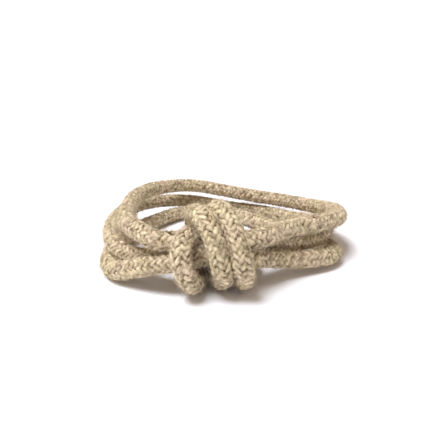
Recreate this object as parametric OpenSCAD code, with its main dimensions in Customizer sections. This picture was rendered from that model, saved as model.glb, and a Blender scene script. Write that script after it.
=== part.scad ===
// Cord ligature: one braided cord laid in three turns and bound at the front by three wraps of itself.
// Origin: middle of the footprint, on the surface the ligature stands on. +Z is up, the knot faces -Y.

/* [Cord] */
// Diameter of the braided cord's firm core, without its fuzz
cord_d = 2.4; // [2:0.1:2.4]
// Size of the whole ligature, cord included, against its usual size
ligature_scale = 1; // [0.8:0.05:1.4]

/* [Fineness] */
// Sides of the cord's cross-section
cord_sides = 8; // [8:1:12]
// Rings between two points of a turn
rings_on_turn = 2; // [1:1:3]
// Rings between two points of the knot
rings_in_knot = 2; // [1:1:3]

/* [Hidden] */

cord_r = ligature_scale * cord_d / 2;
// The tail is squeezed under the middle wrap, down to this share of the cord's width
tail_share = 0.6;

// Route of the cord from its tucked start to its tucked tail. Each list begins where the one before it ends.
start_route = [
    [0.9, -15.8, 3.9],
    [1.7, -15.6, 3.9],
    [2.7, -15.2, 3.8]
];
bottom_route = [
    [4, -14.5, 3.5],
    [7.5, -12.4, 2.5],
    [11.5, -10.5, 1.8],
    [14, -9, 1.5],
    [15.5, -6.7, 1.3],
    [15.2, -3.5, 1.2],
    [13.2, 0, 1.2],
    [10, 3.8, 1.2],
    [7.2, 7, 1.2],
    [4.8, 10.2, 1.2],
    [2.2, 13.5, 1.2],
    [-1.5, 15.6, 1.2],
    [-5, 16.2, 1.2],
    [-8.2, 14.8, 1.2],
    [-11, 11.3, 1.2],
    [-13.1, 7.3, 1.2],
    [-15, 2, 1.2],
    [-16, -3, 1.2],
    [-15.9, -7.5, 1.2],
    [-15.1, -11, 1.2],
    [-13.5, -13.6, 1.4],
    [-11.5, -15, 2.2],
    [-9.5, -16.1, 3],
    [-7.5, -16.8, 3.6]
];
lower_crossing_route = [
    [-5.5, -17, 3.9],
    [-3.8, -16.8, 4.2],
    [-2.2, -16.9, 4.8],
    [-0.8, -16.7, 5.7],
    [0.4, -16.3, 6.3]
];
top_route = [
    [1.2, -16.3, 6.3],
    [2, -16.3, 6.3],
    [2.8, -16.2, 6.3],
    [4.2, -15.3, 6.3],
    [6.3, -13.1, 6.3],
    [9.5, -10.3, 6.2],
    [13, -7.8, 6],
    [15.8, -5, 5.7],
    [17.4, -1, 5.3],
    [17.4, 3.5, 4.8],
    [16, 7.8, 4.2],
    [13.6, 11.5, 3.9],
    [10.5, 14.1, 3.9],
    [6.9, 15.7, 4.1],
    [3.1, 16.9, 4.5],
    [-0.8, 18, 5],
    [-4.7, 18.5, 5.6],
    [-8, 17.8, 5.9],
    [-11, 15.5, 6.1],
    [-13.3, 12, 6.3],
    [-14.6, 8, 6.3],
    [-14.8, 3.5, 6.3],
    [-14.4, -1, 6.3],
    [-13.7, -5.5, 6.4],
    [-12.6, -10, 6.6],
    [-11, -13.2, 6.8],
    [-9.4, -15.1, 6.7],
    [-8.3, -16.1, 6.4],
    [-7.5, -16.3, 6.3]
];
upper_crossing_route = [
    [-6.8, -16.3, 6.3],
    [-6.1, -16.3, 6.3],
    [-4.8, -15.6, 6.1],
    [-3, -14.8, 6.1],
    [-1.2, -14.2, 6.2],
    [0.6, -13.4, 5.9],
    [2.1, -12.7, 5.1]
];
middle_route = [
    [2.8, -12.6, 5.2],
    [3.5, -12.5, 5.3],
    [4.8, -11.7, 5],
    [6, -10.8, 4.5],
    [8, -9.7, 4],
    [10.5, -8.1, 3.3],
    [13.5, -5.6, 3.4],
    [15.4, -2, 3.6],
    [15.9, 2.6, 2.7],
    [14.8, 7, 2],
    [12.1, 10.8, 1.4],
    [9.4, 13.9, 1.3],
    [5.8, 16.2, 1.3],
    [1.5, 17.6, 1.5],
    [-2.2, 18.7, 1.9],
    [-6, 19.1, 2.4],
    [-10, 18.7, 2.7],
    [-13.8, 17, 2.8],
    [-16.1, 13.5, 3],
    [-17.2, 9.4, 3.2],
    [-17.5, 4.2, 3.4],
    [-16.8, -2, 3.6],
    [-15.6, -7, 3.6],
    [-14, -10.4, 3.3],
    [-11.6, -12.3, 2.9],
    [-9.4, -13.4, 3.1],
    [-7.7, -14.1, 3.7]
];
core_route = [
    [-7, -14, 3.8],
    [-6.3, -13.9, 3.9],
    [-4, -13.7, 3.8],
    [-1.8, -13.3, 3.7],
    [0.1, -12.5, 3.3]
];
right_wrap_route = [
    [1, -11.4, 3.4],
    [1.7, -10.1, 3.7],
    [2.5, -9, 3.3],
    [3.2, -8.9, 2.3],
    [3.4, -10, 1.4],
    [3.1, -11.6, 1.2],
    [2.8, -13.1, 1.2],
    [2.5, -14.8, 1.2],
    [2.4, -16.7, 1.5],
    [2.4, -18.2, 2.7],
    [2.1, -19.2, 4.4],
    [1.7, -19.2, 6.3],
    [1.1, -18.1, 8.1],
    [0.1, -16.3, 9.5],
    [-0.7, -14.2, 9.6],
    [-1.1, -12.1, 8.4]
];
middle_wrap_route = [
    [-1.3, -10.5, 6.3],
    [-1.4, -10.1, 4.1],
    [-1.5, -10.8, 2.1],
    [-1.2, -12.4, 1.2],
    [-0.8, -14.4, 1.2],
    [-0.3, -16.4, 1.4],
    [0, -18, 2.5],
    [-0.3, -19.2, 4.2],
    [-0.7, -19.2, 6],
    [-1.3, -18.4, 7.6],
    [-2.2, -17, 8.8],
    [-3, -15, 9.2],
    [-3.6, -12.5, 8.3]
];
left_wrap_route = [
    [-3.9, -10.5, 6.1],
    [-4, -10.3, 3.9],
    [-3.9, -11.7, 1.9],
    [-3.5, -14.1, 1.2],
    [-3.5, -16.7, 1.2],
    [-3.8, -18.5, 1.9],
    [-4.4, -19.5, 3.6],
    [-4.8, -19.4, 5.4]
];
tail_route = [
    [-4.7, -18.6, 6.8],
    [-4.3, -17.7, 7.6],
    [-4.1, -16.8, 7.7]
];

// Every route in turn is the cord's whole centre line, and marks[i] is where the i-th section begins
sections = [
    start_route, bottom_route, lower_crossing_route, top_route, upper_crossing_route, middle_route,
    core_route, right_wrap_route, middle_wrap_route, left_wrap_route, tail_route
];
marks = [for (i = 0, at = 0; i < len(sections); at = at + len(sections[i]), i = i + 1) at];
route_line = [for (section = sections) each ligature_scale * section];
last_point = len(route_line) - 1;

// The route is moved so that the ligature stands on z = 0 with its footprint centred
route_places = ring_places(route_line, 0, last_point, rings_on_turn);
lowest = [for (axis = [0 : 2]) min([for (p = route_places) p[axis]])];
highest = [for (axis = [0 : 2]) max([for (p = route_places) p[axis]])];
settle = [-(lowest[0] + highest[0]) / 2, -(lowest[1] + highest[1]) / 2, cord_r - lowest[2]];
centre_line = [for (p = route_line) p + settle];

cord_start_index = 0;
bottom_turn_index = 1;
lower_crossing_index = 2;
top_turn_index = 3;
upper_crossing_index = 4;
middle_turn_index = 5;
core_strand_index = 6;
right_wrap_index = 7;
middle_wrap_index = 8;
left_wrap_index = 9;
cord_tail_index = 10;

hemp_light = [0.82, 0.75, 0.62];
hemp_mid = [0.76, 0.68, 0.54];
hemp_dark = [0.68, 0.59, 0.45];

function unit(v) = v / norm(v);

// Direction and speed of the curve through `line` at its point i, per millimetre along it
function velocity(line, i) =
    i == 0 ? unit(line[1] - line[0]) :
    i == last_point ? unit(line[i] - line[i - 1]) :
    let (
        before = line[i] - line[i - 1],
        after = line[i + 1] - line[i],
        before_length = norm(before),
        after_length = norm(after)
    )
    (before * after_length / before_length + after * before_length / after_length)
        / (before_length + after_length);

// Place on the smooth curve between points i and i + 1, with t from 0 to 1
function place(line, i, t) =
    let (
        chord = norm(line[i + 1] - line[i]),
        blend = t * t * (3 - 2 * t)
    )
    line[i] * (1 - blend) + line[i + 1] * blend
        + chord * t * (1 - t) * (velocity(line, i) * (1 - t) - velocity(line, i + 1) * t);

// Direction of the curve at that place
function heading(line, i, t) =
    t == 0 ? unit(velocity(line, i)) :
    t == 1 ? unit(velocity(line, i + 1)) :
    unit(place(line, i, t + 0.01) - place(line, i, t - 0.01));

// Rings from point `first` to point `last`: where each is, and which way the cord runs there
function ring_places(line, first, last, rings) =
    concat(
        [for (i = [first : last - 1]) for (k = [0 : rings - 1]) place(line, i, k / rings)],
        [place(line, last - 1, 1)]
    );

function ring_headings(line, first, last, rings) =
    concat(
        [for (i = [first : last - 1]) for (k = [0 : rings - 1]) heading(line, i, k / rings)],
        [heading(line, last - 1, 1)]
    );

// A tube through the rings. `side` is a direction that the section never runs along.
// The tube narrows evenly to the share `end_share` of the cord's radius.
module tube(places, headings, side, end_share) {
    n = cord_sides;
    ring_points = [
        for (j = [0 : len(places) - 1])
            let (
                across = unit(cross(headings[j], side)),
                up = cross(across, headings[j]),
                r = cord_r * (1 - (1 - end_share) * j / (len(places) - 1))
            )
            for (k = [0 : n - 1])
                places[j] + r * (cos(360 * k / n) * across + sin(360 * k / n) * up)
    ];
    walls = [
        for (j = [0 : len(places) - 2])
            for (k = [0 : n - 1])
                let (a = j * n + k, b = j * n + (k + 1) % n)
                each [[a, b, b + n], [a, b + n, a + n]]
    ];
    near_end = [[for (k = [n - 1 : -1 : 0]) k]];
    far_end = [[for (k = [0 : n - 1]) (len(places) - 1) * n + k]];
    polyhedron(ring_points, concat(walls, near_end, far_end));
}

// One section of the cord, from its own first point to the first point of the next
module section(index, rings, side, end_share = 1) {
    first = marks[index];
    last = index == len(marks) - 1 ? last_point : marks[index + 1];
    tube(
        ring_places(centre_line, first, last, rings),
        ring_headings(centre_line, first, last, rings),
        side,
        end_share
    );
}

module cord_start() {
    color(hemp_dark) section(cord_start_index, rings_in_knot, [0, 0, 1]);
}

module bottom_turn() {
    color(hemp_mid) section(bottom_turn_index, rings_on_turn, [0, 0, 1]);
}

module lower_crossing() {
    color(hemp_dark) section(lower_crossing_index, rings_in_knot, [0, 1, 0]);
}

module top_turn() {
    color(hemp_light) section(top_turn_index, rings_on_turn, [0, 0, 1]);
}

module upper_crossing() {
    color(hemp_dark) section(upper_crossing_index, rings_in_knot, [0, 0, 1]);
}

module middle_turn() {
    color(hemp_mid) section(middle_turn_index, rings_on_turn, [0, 0, 1]);
}

module core_strand() {
    color(hemp_dark) section(core_strand_index, rings_in_knot, [0, 0, 1]);
}

module right_wrap() {
    color(hemp_light) section(right_wrap_index, rings_in_knot, [1, 0.4, 0]);
}

module middle_wrap() {
    color(hemp_light) section(middle_wrap_index, rings_in_knot, [1, 0, 0]);
}

module left_wrap() {
    color(hemp_light) section(left_wrap_index, rings_in_knot, [1, 0, 0]);
}

module cord_tail() {
    color(hemp_mid) section(cord_tail_index, rings_in_knot, [1, 0, 0], tail_share);
}

cord_start();
bottom_turn();
lower_crossing();
top_turn();
upper_crossing();
middle_turn();
core_strand();
right_wrap();
middle_wrap();
left_wrap();
cord_tail();
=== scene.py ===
"""Looks of the cord ligature: one braided hemp cord in loose turns with a wrap knot at the front.

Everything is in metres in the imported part's own frame. Route points are in millimetres, as in the CAD
source.
"""

import math

import bpy
import numpy as np
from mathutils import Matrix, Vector


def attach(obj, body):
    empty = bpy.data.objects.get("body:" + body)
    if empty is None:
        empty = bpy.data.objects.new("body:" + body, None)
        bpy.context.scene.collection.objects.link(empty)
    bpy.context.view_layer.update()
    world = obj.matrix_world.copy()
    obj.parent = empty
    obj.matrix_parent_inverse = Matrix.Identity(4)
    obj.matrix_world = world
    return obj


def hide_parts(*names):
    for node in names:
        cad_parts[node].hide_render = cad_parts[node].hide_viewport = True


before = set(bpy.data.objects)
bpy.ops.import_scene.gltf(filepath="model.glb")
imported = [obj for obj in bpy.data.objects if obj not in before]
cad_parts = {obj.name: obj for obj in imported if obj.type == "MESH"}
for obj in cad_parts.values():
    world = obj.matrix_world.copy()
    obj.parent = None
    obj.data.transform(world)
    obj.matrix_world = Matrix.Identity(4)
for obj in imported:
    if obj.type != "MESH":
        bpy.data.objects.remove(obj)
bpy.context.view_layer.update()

MM = 0.001

# The cord's route, as in the CAD source. Each list begins where the one before it ends.
START_ROUTE = [
    (0.9, -15.8, 3.9), (1.7, -15.6, 3.9), (2.7, -15.2, 3.8),
]
BOTTOM_ROUTE = [
    (4, -14.5, 3.5), (7.5, -12.4, 2.5), (11.5, -10.5, 1.8), (14, -9, 1.5), (15.5, -6.7, 1.3),
    (15.2, -3.5, 1.2), (13.2, 0, 1.2), (10, 3.8, 1.2), (7.2, 7, 1.2), (4.8, 10.2, 1.2),
    (2.2, 13.5, 1.2), (-1.5, 15.6, 1.2), (-5, 16.2, 1.2), (-8.2, 14.8, 1.2), (-11, 11.3, 1.2),
    (-13.1, 7.3, 1.2), (-15, 2, 1.2), (-16, -3, 1.2), (-15.9, -7.5, 1.2), (-15.1, -11, 1.2),
    (-13.5, -13.6, 1.4), (-11.5, -15, 2.2), (-9.5, -16.1, 3), (-7.5, -16.8, 3.6),
]
LOWER_CROSSING_ROUTE = [
    (-5.5, -17, 3.9), (-3.8, -16.8, 4.2), (-2.2, -16.9, 4.8), (-0.8, -16.7, 5.7),
    (0.4, -16.3, 6.3),
]
TOP_ROUTE = [
    (1.2, -16.3, 6.3), (2, -16.3, 6.3), (2.8, -16.2, 6.3), (4.2, -15.3, 6.3), (6.3, -13.1, 6.3),
    (9.5, -10.3, 6.2), (13, -7.8, 6), (15.8, -5, 5.7), (17.4, -1, 5.3), (17.4, 3.5, 4.8),
    (16, 7.8, 4.2), (13.6, 11.5, 3.9), (10.5, 14.1, 3.9), (6.9, 15.7, 4.1), (3.1, 16.9, 4.5),
    (-0.8, 18, 5), (-4.7, 18.5, 5.6), (-8, 17.8, 5.9), (-11, 15.5, 6.1), (-13.3, 12, 6.3),
    (-14.6, 8, 6.3), (-14.8, 3.5, 6.3), (-14.4, -1, 6.3), (-13.7, -5.5, 6.4), (-12.6, -10, 6.6),
    (-11, -13.2, 6.8), (-9.4, -15.1, 6.7), (-8.3, -16.1, 6.4), (-7.5, -16.3, 6.3),
]
UPPER_CROSSING_ROUTE = [
    (-6.8, -16.3, 6.3), (-6.1, -16.3, 6.3), (-4.8, -15.6, 6.1), (-3, -14.8, 6.1),
    (-1.2, -14.2, 6.2), (0.6, -13.4, 5.9), (2.1, -12.7, 5.1),
]
MIDDLE_ROUTE = [
    (2.8, -12.6, 5.2), (3.5, -12.5, 5.3), (4.8, -11.7, 5), (6, -10.8, 4.5), (8, -9.7, 4),
    (10.5, -8.1, 3.3), (13.5, -5.6, 3.4), (15.4, -2, 3.6), (15.9, 2.6, 2.7), (14.8, 7, 2),
    (12.1, 10.8, 1.4), (9.4, 13.9, 1.3), (5.8, 16.2, 1.3), (1.5, 17.6, 1.5), (-2.2, 18.7, 1.9),
    (-6, 19.1, 2.4), (-10, 18.7, 2.7), (-13.8, 17, 2.8), (-16.1, 13.5, 3), (-17.2, 9.4, 3.2),
    (-17.5, 4.2, 3.4), (-16.8, -2, 3.6), (-15.6, -7, 3.6), (-14, -10.4, 3.3), (-11.6, -12.3, 2.9),
    (-9.4, -13.4, 3.1), (-7.7, -14.1, 3.7),
]
CORE_ROUTE = [
    (-7, -14, 3.8), (-6.3, -13.9, 3.9), (-4, -13.7, 3.8), (-1.8, -13.3, 3.7), (0.1, -12.5, 3.3),
]
RIGHT_WRAP_ROUTE = [
    (1, -11.4, 3.4), (1.7, -10.1, 3.7), (2.5, -9, 3.3), (3.2, -8.9, 2.3), (3.4, -10, 1.4),
    (3.1, -11.6, 1.2), (2.8, -13.1, 1.2), (2.5, -14.8, 1.2), (2.4, -16.7, 1.5), (2.4, -18.2, 2.7),
    (2.1, -19.2, 4.4), (1.7, -19.2, 6.3), (1.1, -18.1, 8.1), (0.1, -16.3, 9.5), (-0.7, -14.2, 9.6),
    (-1.1, -12.1, 8.4),
]
MIDDLE_WRAP_ROUTE = [
    (-1.3, -10.5, 6.3), (-1.4, -10.1, 4.1), (-1.5, -10.8, 2.1), (-1.2, -12.4, 1.2),
    (-0.8, -14.4, 1.2), (-0.3, -16.4, 1.4), (0, -18, 2.5), (-0.3, -19.2, 4.2), (-0.7, -19.2, 6),
    (-1.3, -18.4, 7.6), (-2.2, -17, 8.8), (-3, -15, 9.2), (-3.6, -12.5, 8.3),
]
LEFT_WRAP_ROUTE = [
    (-3.9, -10.5, 6.1), (-4, -10.3, 3.9), (-3.9, -11.7, 1.9), (-3.5, -14.1, 1.2),
    (-3.5, -16.7, 1.2), (-3.8, -18.5, 1.9), (-4.4, -19.5, 3.6), (-4.8, -19.4, 5.4),
]
TAIL_ROUTE = [
    (-4.7, -18.6, 6.8), (-4.3, -17.7, 7.6), (-4.1, -16.8, 7.7),
]

ROUTES = {
    "cord_start": START_ROUTE,
    "bottom_turn": BOTTOM_ROUTE,
    "lower_crossing": LOWER_CROSSING_ROUTE,
    "top_turn": TOP_ROUTE,
    "upper_crossing": UPPER_CROSSING_ROUTE,
    "middle_turn": MIDDLE_ROUTE,
    "core_strand": CORE_ROUTE,
    "right_wrap": RIGHT_WRAP_ROUTE,
    "middle_wrap": MIDDLE_WRAP_ROUTE,
    "left_wrap": LEFT_WRAP_ROUTE,
    "cord_tail": TAIL_ROUTE,
}

# The cord and its braid
CORE_D = 2.4 * MM  # the CAD tube
CORD_D = 2.5 * MM  # over the braid
TAIL_SHARE = 0.6  # thickness of the squeezed tail's end, against the cord's
YARNS_EACH_WAY = 10
BRAID_PITCH = 7.3 * MM  # length of cord in which a yarn goes once round
YARN_W = 0.54 * MM
YARN_T = 0.40 * MM
YARN_LIFT = 0.15 * MM  # how far a yarn rises and sinks from the braid's middle
YARN_HOLD = 1.5  # how long a yarn stays up or down before it crosses: more is longer
YARN_SIDES = 5
YARN_STEP = 0.2 * MM  # spacing of the rings of a yarn
# The filling's dark tone is painted shade in the gaps between yarns
INNER_D = 1.5 * MM  # the dark filling that the braid is laid round
INNER_SIDES = 8

# How unevenly the yarns lie: the length of the waves, and how strong they are
TURN_WAVE, TURN_STRAY = 3 * MM, 0.08  # radians
RADIUS_WAVE, RADIUS_STRAY = 3 * MM, 0.03 * MM
WIDTH_WAVE, WIDTH_STRAY = 2.5 * MM, 0.13
TONE_WAVE, TONE_STRAY = 3 * MM, 0.12

# Tones go from 0, dark, to 1, pale
YARN_TONE = 0.66
YARN_TONE_SPREAD = 0.13
# Painted shade: each yarn is darkened where it dives under its neighbours
DIVE_SHADE = 0.26  # how much darker a yarn is where it dives under its neighbours
# Painted shade round each yarn: darker towards its grooves, with a faint painted highlight on its crown
YARN_SHADE = np.array([0.04, -0.13, -0.40, -0.40, -0.13])  # from a yarn's crown round to its grooves
# The filling is painted at the darkest tone, as shade in the gaps between yarns
FILLING_SHADE = 0.0
FUZZ_TONE = (0.55, 1.0)

# Loose fibre ends
FUZZ_PER_MM = 90
FUZZ_R = 0.018 * MM
FUZZ_ROOT = 0.12 * MM  # how deep in the braid a fibre begins
FUZZ_SHORTEST = 0.15 * MM
FUZZ_LONGEST = 1.45 * MM

GROUND_GAP = 0.01 * MM

# The camera's place in millimetres, how far it looks down, and its lens
CAMERA_PLACE = (-0.05, -62.82, 22.65)
CAMERA_DOWN = math.radians(16.85)
CAMERA_LENS = 34.0


# ---------------------------------------------------------------- the cord's line

def route_line():
    """The route in metres, before it is set on the ground, and the point where each section begins."""
    points, marks = [], {}
    for name, route in ROUTES.items():
        marks[name] = len(points)
        points.extend(route)
    return np.array(points, float) * MM, marks


def velocities(p):
    """Direction and speed of the smooth curve at each of its points."""
    chord = np.linalg.norm(np.diff(p, axis=0), axis=1)[:, None]
    step = np.diff(p, axis=0)
    v = np.empty_like(p)
    v[0], v[-1] = step[0] / chord[0], step[-1] / chord[-1]
    before, after = chord[:-1], chord[1:]
    v[1:-1] = (step[:-1] * after / before + step[1:] * before / after) / (before + after)
    return v


def curve_places(p, per_span):
    """Places on the smooth curve through p: per_span from each point to the next, and the last point."""
    v = velocities(p)
    chord = np.linalg.norm(np.diff(p, axis=0), axis=1)
    places = []
    for i in range(len(p) - 1):
        for k in range(per_span):
            t = k / per_span
            s = t * t * (3 - 2 * t)
            bend = v[i] * t * (1 - t) ** 2 - v[i + 1] * t * t * (1 - t)
            places.append(p[i] * (1 - s) + p[i + 1] * s + chord[i] * bend)
    places.append(p[-1])
    return np.array(places)


def settled_line():
    """The route stood on z = 0 with its footprint centred, as the CAD source does."""
    p, marks = route_line()
    rings = curve_places(p, 2)
    low, high = rings.min(0), rings.max(0)
    shift = np.array([-(low[0] + high[0]) / 2, -(low[1] + high[1]) / 2, CORE_D / 2 - low[2]])
    return p + shift, marks


class CordLine:
    """The cord's centre line, with a frame that doesn't twist, read at any length along it."""

    PER_SPAN = 24

    def __init__(self):
        p, self.marks = settled_line()
        dense = curve_places(p, self.PER_SPAN)
        lengths = np.linalg.norm(np.diff(dense, axis=0), axis=1)
        self.arc = np.concatenate([[0], np.cumsum(lengths)])
        self.dense = dense
        tangent = np.gradient(dense, self.arc, axis=0)
        self.tangent = tangent / np.linalg.norm(tangent, axis=1)[:, None]
        side = np.cross(self.tangent[0], (0, 0, 1))
        sides = []
        for t in self.tangent:
            side = side - t * side.dot(t)
            side = side / np.linalg.norm(side)
            sides.append(side)
        self.side = np.array(sides)
        ends = list(self.marks.values())[1:] + [len(p) - 1]
        self.span = {
            name: (self.arc[a * self.PER_SPAN], self.arc[b * self.PER_SPAN])
            for (name, a), b in zip(self.marks.items(), ends)
        }

    def read(self, rows, s):
        return np.stack([np.interp(s, self.arc, rows[:, i]) for i in range(3)], axis=1)

    def at(self, s):
        """Centre, tangent, and the two directions across the cord, at lengths s."""
        centre = self.read(self.dense, s)
        along = self.read(self.tangent, s)
        along /= np.linalg.norm(along, axis=1)[:, None]
        side = self.read(self.side, s)
        side -= along * (side * along).sum(1)[:, None]
        side /= np.linalg.norm(side, axis=1)[:, None]
        return centre, along, side, np.cross(along, side)


LINE = CordLine()


# ---------------------------------------------------------------- meshes

class MeshParts:
    """Collects tubes with their colour tone and yarn coordinates, and makes one mesh of them."""

    def __init__(self):
        self.verts, self.quads, self.tris = [], [], []
        self.tone, self.uv, self.count = [], [], 0

    def tube(self, rings, tone, uv_along, uv_shift=0.0):
        """A closed tube. rings is (rings, sides, 3), and tone is a value for each corner of each ring."""
        n, k, _ = rings.shape
        base = self.count
        self.verts.append(rings.reshape(-1, 3))
        a = np.arange(n - 1)[:, None] * k + np.arange(k)[None, :]
        b = np.arange(n - 1)[:, None] * k + (np.arange(k)[None, :] + 1) % k
        self.quads.append((base + np.stack([a, b, b + k, a + k], axis=-1)).reshape(-1, 4))
        self.tone.append(np.broadcast_to(tone, (n, k)).ravel())
        around = np.tile(np.abs(np.arange(k) / k - 0.5) * 2, n) + uv_shift
        self.uv.append(np.stack([around, np.repeat(uv_along, k)], axis=1))
        self.count += n * k
        for start, flip in ((0, True), ((n - 1) * k, False)):
            fan = [(base + start, base + start + i, base + start + i + 1) for i in range(1, k - 1)]
            self.tris.append(np.array([f[::-1] if flip else f for f in fan]))

    def fibres(self, points, across, outward, tone):
        """Thin three-sided fibres through three points each, the last of which is a sharp tip."""
        count = len(tone)
        corners = []
        for place, r in zip(points[:2], (FUZZ_R, 0.8 * FUZZ_R)):
            for angle in 2 * math.pi * np.arange(3) / 3:
                corners.append(place + r * (math.cos(angle) * across + math.sin(angle) * outward))
        corners.append(points[2])
        base = self.count + 7 * np.arange(count)[:, None]
        self.verts.append(np.stack(corners, axis=1).reshape(-1, 3))
        for a, b in ((0, 1), (1, 2), (2, 0)):
            self.quads.append(base + np.array([a, b, b + 3, a + 3]))
            self.tris.append(base + np.array([a + 3, b + 3, 6]))
        self.tris.append(base + np.array([2, 1, 0]))
        self.tone.append(np.repeat(tone, 7))
        self.uv.append(np.zeros((7 * count, 2)))
        self.count += 7 * count

    def make(self, name, material):
        verts = np.concatenate(self.verts)
        verts[:, 2] = np.maximum(verts[:, 2], GROUND_GAP)  # what would be in the ground lies flat on it
        faces = [tuple(f) for f in np.concatenate(self.quads).tolist() + np.concatenate(self.tris).tolist()]
        mesh = bpy.data.meshes.new(name)
        mesh.from_pydata(verts.tolist(), [], faces)
        mesh.update()
        mesh.polygons.foreach_set("use_smooth", [True] * len(mesh.polygons))
        tone = mesh.attributes.new("tone", "FLOAT", "POINT")
        tone.data.foreach_set("value", np.concatenate(self.tone).astype(np.float32))
        yarn = mesh.attributes.new("yarn", "FLOAT2", "POINT")
        yarn.data.foreach_set("vector", np.concatenate(self.uv).astype(np.float32).ravel())
        mesh.materials.append(material)
        obj = bpy.data.objects.new(name, mesh)
        bpy.context.collection.objects.link(obj)
        return obj


def slow_noise(rng, s, wave, size):
    """A smooth random curve along the cord: four waves of about that length, added up."""
    total = np.zeros_like(s)
    for _ in range(4):
        total += np.sin(2 * math.pi * s / (wave * rng.uniform(0.6, 1.7)) + rng.uniform(0, 2 * math.pi))
    return total * size / 2


def girth(s):
    """The cord's thickness at lengths s, as a share of its usual one: the tail narrows to a round end."""
    start, end = LINE.span["cord_tail"]
    t = np.clip((s - start) / (end - start), 0, 1)
    tip = np.clip((t - 0.7) / 0.3, 0, 0.97)
    return (1 - (1 - TAIL_SHARE) * t) * np.sqrt(1 - tip * tip)


def yarn_rings(way, i, s, rng):
    """The rings of yarn i, laid clockwise (way 1) or anticlockwise (way -1) round the cord."""
    centre, along, side, up = LINE.at(s)
    turn = 2 * math.pi * i / YARNS_EACH_WAY + way * 2 * math.pi * s / BRAID_PITCH
    crossing = 2 * YARNS_EACH_WAY * s / BRAID_PITCH
    # Herringbone: each yarn goes over two and under two, and the overs line up along the cord
    phase = 2 * i + way * crossing - 0.5
    wave = way * np.cos(math.pi * phase / 2)
    wave = np.tanh(YARN_HOLD * wave) / math.tanh(YARN_HOLD)
    turn = turn + slow_noise(rng, s, TURN_WAVE, TURN_STRAY)
    middle = CORD_D / 2 - YARN_T / 2 - YARN_LIFT
    share = girth(s)
    radius = share * (middle + YARN_LIFT * wave + slow_noise(rng, s, RADIUS_WAVE, RADIUS_STRAY))
    outward = np.cos(turn)[:, None] * side + np.sin(turn)[:, None] * up
    path = centre + radius[:, None] * outward
    run = np.gradient(path, axis=0)
    run /= np.linalg.norm(run, axis=1)[:, None]
    across = np.cross(run, outward)
    across /= np.linalg.norm(across, axis=1)[:, None]
    thick = np.cross(across, run)
    width = share * YARN_W * (1 + 0.12 * wave + slow_noise(rng, s, WIDTH_WAVE, WIDTH_STRAY))
    depth = share * YARN_T
    angle = math.pi / 2 + 2 * math.pi * np.arange(YARN_SIDES) / YARN_SIDES
    return (
        path[:, None, :]
        + (width / 2)[:, None, None] * np.cos(angle)[None, :, None] * across[:, None, :]
        + (depth / 2)[:, None, None] * np.sin(angle)[None, :, None] * thick[:, None, :]
    ), wave


def add_braid(parts, start, end, seed):
    """The braided cover, from one length along the cord to another."""
    rng = np.random.default_rng(seed)
    n = max(4, int(round((end - start) / YARN_STEP)) + 1)
    s = np.linspace(start, end, n)
    for way in (1, -1):
        for i in range(YARNS_EACH_WAY):
            rings, wave = yarn_rings(way, i, s, np.random.default_rng(100 + i + 50 * way))
            # Painted shade where the yarn dives under its neighbours
            dive = (1 - np.maximum(wave, 0)) ** 2
            tone = YARN_TONE + YARN_TONE_SPREAD * rng.uniform(-1, 1)
            tone = tone + slow_noise(rng, s, TONE_WAVE, TONE_STRAY) - DIVE_SHADE * dive
            # Painted shade in the grooves at the yarn's sides and a faint painted highlight on its crown
            parts.tube(rings, tone[:, None] + YARN_SHADE, s / MM, uv_shift=3.0 * rng.integers(0, 40))


def add_filling(parts, start, end):
    """The filling inside the braid, which closes the gaps between yarns. Its darkest tone is painted shade
    in those gaps.
    """
    s = np.linspace(start, end, max(3, int((end - start) / MM) + 2))
    centre, along, side, up = LINE.at(s)
    angle = 2 * math.pi * np.arange(INNER_SIDES) / INNER_SIDES
    rings = centre[:, None, :] + (INNER_D / 2 * girth(s))[:, None, None] * (
        np.cos(angle)[None, :, None] * side[:, None, :] + np.sin(angle)[None, :, None] * up[:, None, :]
    )
    parts.tube(rings, FILLING_SHADE, s / MM)


def add_fuzz(parts, start, end, seed):
    """Loose fibre ends that stand a little off the braid."""
    rng = np.random.default_rng(seed)
    count = int((end - start) / MM * FUZZ_PER_MM)
    s = rng.uniform(start, end, count)
    centre, along, side, up = LINE.at(s)
    turn = rng.uniform(0, 2 * math.pi, count)
    outward = np.cos(turn)[:, None] * side + np.sin(turn)[:, None] * up
    around = np.cross(along, outward)
    length = np.minimum(rng.gamma(2.2, 0.30, count) * MM + FUZZ_SHORTEST, FUZZ_LONGEST)
    lean = rng.normal(0, 1, (count, 2))
    rise = rng.uniform(0.05, 0.55, count)
    begin = centre + (CORD_D / 2 * girth(s) - FUZZ_ROOT)[:, None] * outward
    first = along * lean[:, :1] + around * lean[:, 1:]
    first /= np.linalg.norm(first, axis=1)[:, None]
    curl = rng.normal(0, 0.5, (count, 1)) * np.cross(first, outward)
    points = []
    for t in (0.0, 0.5, 1.0):
        height = (rise * t * (1.25 - 0.7 * t))[:, None]
        points.append(begin + length[:, None] * (first * t + curl * t * t + outward * height))
    across = np.cross(first, outward)
    across /= np.linalg.norm(across, axis=1)[:, None]
    parts.fibres(points, across, outward, rng.uniform(*FUZZ_TONE, count))


# ---------------------------------------------------------------- materials

def mix_colours(nodes, links, factor, low, high, blend="MIX"):
    """A mix of two colours, each a tuple or a socket, by a factor that is a number or a socket."""
    mix = nodes.new("ShaderNodeMix")
    mix.data_type = "RGBA"
    mix.blend_type = blend
    if isinstance(factor, float):
        mix.inputs["Factor"].default_value = factor
    else:
        links.new(factor, mix.inputs["Factor"])
    sockets = [s for s in mix.inputs if s.type == "RGBA"]
    for socket, value in zip(sockets, (low, high)):
        if isinstance(value, tuple):
            socket.default_value = (*value, 1)
        else:
            links.new(value, socket)
    return [s for s in mix.outputs if s.type == "RGBA"][0]


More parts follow.
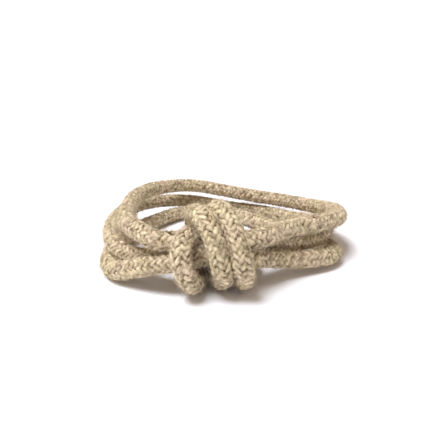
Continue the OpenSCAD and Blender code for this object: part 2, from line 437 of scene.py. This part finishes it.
def noise(nodes, links, vector, scale, detail):
    n = nodes.new("ShaderNodeTexNoise")
    n.inputs["Scale"].default_value = scale
    n.inputs["Detail"].default_value = detail
    links.new(vector, n.inputs["Vector"])
    return n.outputs["Fac"]


def scaled(nodes, links, value, factor, offset):
    """value * factor + offset"""
    m = nodes.new("ShaderNodeMath")
    m.operation = "MULTIPLY_ADD"
    links.new(value, m.inputs[0])
    m.inputs[1].default_value = factor
    m.inputs[2].default_value = offset
    return m.outputs[0]


def added(nodes, links, a, b, clamp=False):
    m = nodes.new("ShaderNodeMath")
    m.operation = "ADD"
    m.use_clamp = clamp
    links.new(a, m.inputs[0])
    links.new(b, m.inputs[1])
    return m.outputs[0]


def map_range(nodes, links, value, low, high):
    """0 where value is low, 1 where it is high."""
    m = nodes.new("ShaderNodeMapRange")
    m.inputs["From Min"].default_value = low
    m.inputs["From Max"].default_value = high
    links.new(value, m.inputs["Value"])
    return m.outputs["Result"]


def attribute(nodes, name):
    node = nodes.new("ShaderNodeAttribute")
    node.attribute_name = name
    return node


def hemp(name, dark, light, blush, olive):
    """Undyed hemp yarn: patchy straw and greyish fibres, matt and slightly furry."""
    m = bpy.data.materials.new(name)
    m.use_nodes = True
    nodes, links = m.node_tree.nodes, m.node_tree.links
    shader = nodes["Principled BSDF"]
    place = nodes.new("ShaderNodeTexCoord").outputs["Object"]

    # Fibres run slantwise along each yarn
    stretch = nodes.new("ShaderNodeMapping")
    stretch.inputs["Scale"].default_value = (9.0, 2.2, 1.0)
    stretch.inputs["Rotation"].default_value = (0, 0, 0.35)
    links.new(attribute(nodes, "yarn").outputs["Vector"], stretch.inputs["Vector"])
    fibres = noise(nodes, links, stretch.outputs["Vector"], 1.6, 3.0)

    # From dark to light by the mesh's tone (the yarns' own tones, with painted shade in the grooves, where
    # yarns dive and in the filling), the fibres and small specks
    specks = noise(nodes, links, place, 1700.0, 3.0)
    level = scaled(nodes, links, fibres, 1.1, -0.55)
    level = added(nodes, links, level, attribute(nodes, "tone").outputs["Fac"])
    level = added(nodes, links, level, scaled(nodes, links, specks, 1.8, -0.91), clamp=True)
    straw = mix_colours(nodes, links, level, dark, light)

    # Patches a few millimetres across, a little greener or pinker
    patches = map_range(nodes, links, noise(nodes, links, place, 260.0, 2.0), 0.38, 0.62)
    tint = mix_colours(nodes, links, patches, olive, blush)
    colour = mix_colours(nodes, links, 1.0, straw, tint, blend="MULTIPLY")
    links.new(colour, shader.inputs["Base Color"])

    shader.inputs["Roughness"].default_value = 0.95
    shader.inputs["Specular IOR Level"].default_value = 0.15
    shader.inputs["Sheen Weight"].default_value = 0.15
    shader.inputs["Sheen Roughness"].default_value = 0.6
    bump = nodes.new("ShaderNodeBump")
    bump.inputs["Strength"].default_value = 0.6
    bump.inputs["Distance"].default_value = 0.05 * MM
    links.new(fibres, bump.inputs["Height"])
    links.new(bump.outputs["Normal"], shader.inputs["Normal"])
    return m


def paper(name, colour):
    m = bpy.data.materials.new(name)
    m.use_nodes = True
    shader = m.node_tree.nodes["Principled BSDF"]
    shader.inputs["Base Color"].default_value = (*colour, 1)
    shader.inputs["Roughness"].default_value = 0.9
    shader.inputs["Specular IOR Level"].default_value = 0.1
    return m


HEMP = hemp(
    "hemp",
    dark=(0.13, 0.068, 0.016),
    light=(0.83, 0.715, 0.54),
    blush=(1.0, 0.965, 0.93),
    olive=(0.98, 0.98, 0.87),
)


# ---------------------------------------------------------------- the pieces

def cord_piece(name, body, sections, seed):
    """A length of the cord over the named sections, which follow on from each other."""
    start, end = LINE.span[sections[0]][0], LINE.span[sections[-1]][1]
    parts = MeshParts()
    add_filling(parts, start, end)
    add_braid(parts, start, end, seed)
    add_fuzz(parts, start, end, seed + 1)
    obj = parts.make(name, HEMP)
    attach(obj, body)
    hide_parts(*sections)
    return obj, start, end


def cord_path(start, end):
    """Points along the centre line, close enough together to have its length."""
    return LINE.at(np.linspace(start, end, int((end - start) / (0.5 * MM))))[0].tolist()


def declare(start, end):
    path = cord_path(start, end)


def make_camera():
    data = bpy.data.cameras.new("camera")
    data.lens = CAMERA_LENS
    data.sensor_width = 36.0
    data.clip_start = 1 * MM
    data.clip_end = 10.0
    camera = bpy.data.objects.new("camera", data)
    camera.location = [c * MM for c in CAMERA_PLACE]
    camera.rotation_euler = (math.pi / 2 - CAMERA_DOWN, 0, 0)
    bpy.context.collection.objects.link(camera)
    bpy.context.scene.camera = camera


def make_floor():
    half = 2.0
    corners = [(-half, -half, 0), (half, -half, 0), (half, half, 0), (-half, half, 0)]
    mesh = bpy.data.meshes.new("floor")
    mesh.from_pydata(corners, [], [(0, 1, 2, 3)])
    mesh.materials.append(paper("paper", (0.91, 0.91, 0.96)))
    floor = bpy.data.objects.new("floor", mesh)
    bpy.context.collection.objects.link(floor)


def make_room():
    """Surroundings that are white near the horizon, and dimmer and warmer above it."""
    world = bpy.data.worlds.new("studio")
    world.use_nodes = True
    nodes, links = world.node_tree.nodes, world.node_tree.links
    height = nodes.new("ShaderNodeSeparateXYZ")
    links.new(nodes.new("ShaderNodeTexCoord").outputs["Generated"], height.inputs[0])
    above = map_range(nodes, links, height.outputs["Z"], 0.2, 0.4)
    room = mix_colours(nodes, links, above, (1.08, 1.03, 1.0), (0.33, 0.26, 0.19))
    links.new(room, nodes["Background"].inputs["Color"])
    nodes["Background"].inputs["Strength"].default_value = 1.0
    bpy.context.scene.world = world
    bpy.context.scene.view_settings.view_transform = "Standard"


def make_overhead_light():
    sun = bpy.data.lights.new("overhead", "SUN")
    sun.energy = 4.0
    sun.color = (0.97, 1.0, 1.05)
    sun.angle = math.radians(32)
    lamp = bpy.data.objects.new("overhead", sun)
    lamp.rotation_euler = Vector((0.37, 0.13, -1)).to_track_quat("-Z", "Y").to_euler()
    bpy.context.collection.objects.link(lamp)


make_camera()

bottom, bottom_start, bottom_end = cord_piece(
    "bottom_turn_cord", "knot", ["cord_start", "bottom_turn", "lower_crossing"], 1
)
top, top_start, top_end = cord_piece("top_turn_cord", "top", ["top_turn"], 11)
crossing, crossing_start, crossing_end = cord_piece(
    "upper_crossing_cord", "knot", ["upper_crossing"], 21
)
middle, middle_start, middle_end = cord_piece("middle_turn_cord", "middle", ["middle_turn"], 31)
knot, knot_start, knot_end = cord_piece(
    "wrap_knot_cord", "knot",
    ["core_strand", "right_wrap", "middle_wrap", "left_wrap", "cord_tail"], 41
)

declare(bottom_start, bottom_end)
declare(top_start, top_end)
declare(middle_start, middle_end)
declare(knot_start, knot_end)

make_floor()
make_room()
make_overhead_light()
